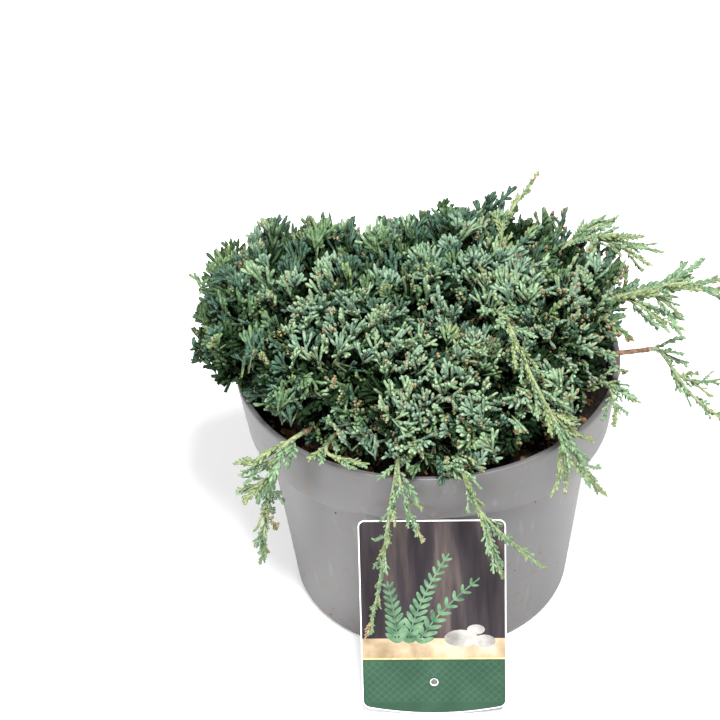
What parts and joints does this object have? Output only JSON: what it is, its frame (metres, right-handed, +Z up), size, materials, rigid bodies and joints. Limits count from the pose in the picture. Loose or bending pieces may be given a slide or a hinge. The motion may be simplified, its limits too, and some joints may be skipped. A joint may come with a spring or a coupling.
{
  "type": "potted creeping juniper",
  "caption": "Low spreading conifer with dense scaly foliage and trailing shoots, in a round plastic nursery pot with a plain card tag.",
  "frame": {"origin": "middle of the pot's flat underside", "axes": "+Z up along the pot's axis, -Y towards the plant tag, +X to the right of the tag"},
  "size_m": [0.3419, 0.2939, 0.2715],
  "materials": {
    "pot": "moulded grey plastic, satin, lightly scuffed",
    "soil": "moist dark peat with bark chips",
    "tag": null,
    "bark": "rough brown bark",
    "foliage": "silvery blue-green scale leaves, matt with a bloom",
    "shoots": "yellow-green young scale leaves and stems"
  },
  "bodies": {
    "root": {"pot": "pot", "soil": "soil", "plant_tag": "tag", "trunk": "bark", "bough_skirt_1": "bark", "bough_skirt_2": "bark", "bough_skirt_3": "bark", "bough_skirt_4": "bark", "bough_skirt_5": "bark", "bough_skirt_6": "bark", "bough_skirt_7": "bark", "bough_skirt_8": "bark", "bough_skirt_9": "bark", "bough_shoulder_1": "bark", "bough_shoulder_2": "bark", "bough_shoulder_3": "bark", "bough_shoulder_4": "bark", "bough_shoulder_5": "bark", "branch_right_low": "bark", "branch_front_right": "bark", "branch_front_left": "bark", "branch_front_middle": "bark", "branch_left": "bark", "branch_crown": "bark", "branch_right_back": "bark", "branch_right_far": "bark", "branch_front_rim": "bark", "branch_right_rim": "bark", "branch_back_left": "bark", "branch_back_right": "bark", "foliage_crown": "foliage", "foliage_skirt_1": "foliage", "foliage_skirt_2": "foliage", "foliage_skirt_3": "foliage", "foliage_skirt_4": "foliage", "foliage_skirt_5": "foliage", "foliage_skirt_6": "foliage", "foliage_skirt_7": "foliage", "foliage_skirt_8": "foliage", "foliage_skirt_9": "foliage", "foliage_shoulder_1": "foliage", "foliage_shoulder_2": "foliage", "foliage_shoulder_3": "foliage", "foliage_shoulder_4": "foliage", "foliage_shoulder_5": "foliage", "shoot_right_low": "shoots", "shoot_front_right": "shoots", "shoot_front_left": "shoots", "shoot_front_middle": "shoots", "shoot_left": "shoots", "shoot_crown": "shoots", "shoot_right_back": "shoots", "shoot_right_far": "shoots", "shoot_front_rim": "shoots", "shoot_right_rim": "shoots", "shoot_back_left": "shoots", "shoot_back_right": "shoots"}
  },
  "joints": []
}
